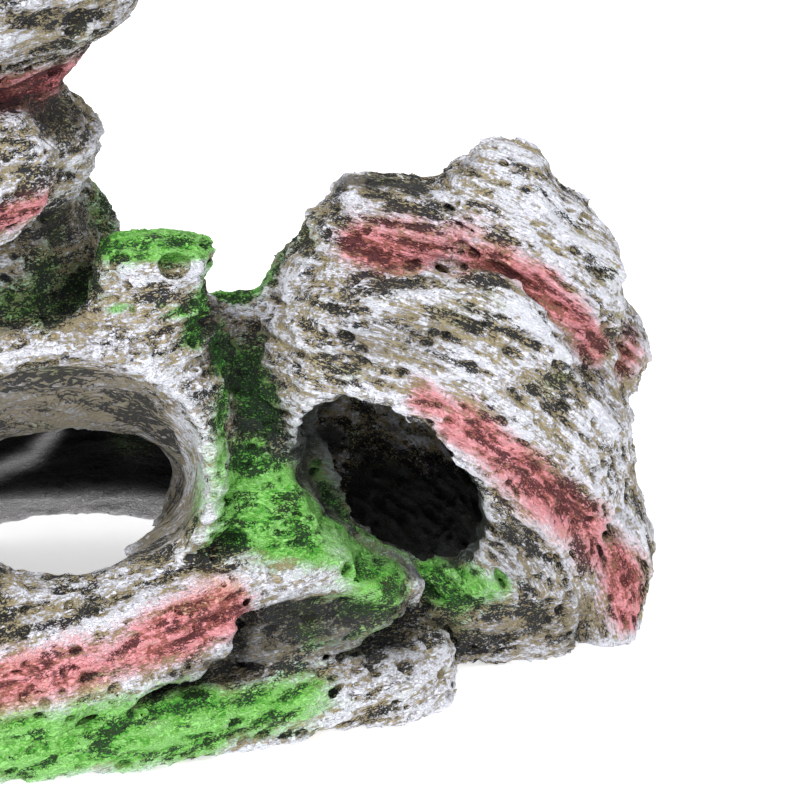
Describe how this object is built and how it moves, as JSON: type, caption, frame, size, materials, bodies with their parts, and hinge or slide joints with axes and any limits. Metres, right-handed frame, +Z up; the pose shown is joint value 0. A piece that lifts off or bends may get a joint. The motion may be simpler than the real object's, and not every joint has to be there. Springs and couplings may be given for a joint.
{
  "type": "resin cave ornament",
  "caption": "Hollow rock-like aquarium ornament with a layered pinnacle, an arch into a floorless chamber, a boulder with a cave, and broken ledges at the front.",
  "frame": {"origin": "on the ground at the centre of the bounding box of the ornament", "axes": "+Z up, +X to the right of the arch mouth along the length, -Y out of the arch mouth"},
  "size_m": [0.183, 0.0991, 0.1497],
  "materials": {
    "resin_grey": "charcoal resin, dry-brushed in khaki and off-white, matt",
    "resin_dark": "charcoal resin with little dry-brushing, matt",
    "resin_red": "charcoal resin, dry-brushed and glazed in salmon red, matt",
    "resin_green": "charcoal resin, dry-brushed and glazed in moss green, satin",
    "resin_olive": "charcoal resin, dry-brushed in khaki with a green glaze, matt"
  },
  "bodies": {
    "root": {"upper_ledge": "resin_red", "lower_ledge": "resin_green", "dark_ledge": "resin_dark", "arch_apron": "resin_grey", "moss_slope": "resin_green", "arch_rim": "resin_grey", "arch_jamb": "resin_grey", "stump_moss": "resin_green", "stump": "resin_grey", "cave_sill": "resin_dark", "corner_buttress": "resin_red", "crag_knob": "resin_red", "crag_peak": "resin_grey", "crag_shoulder": "resin_grey", "cave_boulder": "resin_grey", "crevice_rock": "resin_olive", "saddle_moss": "resin_green", "pinnacle_crown": "resin_grey", "pinnacle_cap": "resin_grey", "pinnacle_buttress": "resin_grey", "pinnacle_neck": "resin_red", "pinnacle_plate": "resin_grey", "pinnacle_shoulder": "resin_grey", "pinnacle_base": "resin_olive", "arch_boulder": "resin_grey", "left_ledge": "resin_grey", "left_step": "resin_grey", "left_flank": "resin_grey", "rear_ridge": "resin_olive", "rear_ledge": "resin_grey", "back_wall": "resin_dark"}
  },
  "joints": []
}
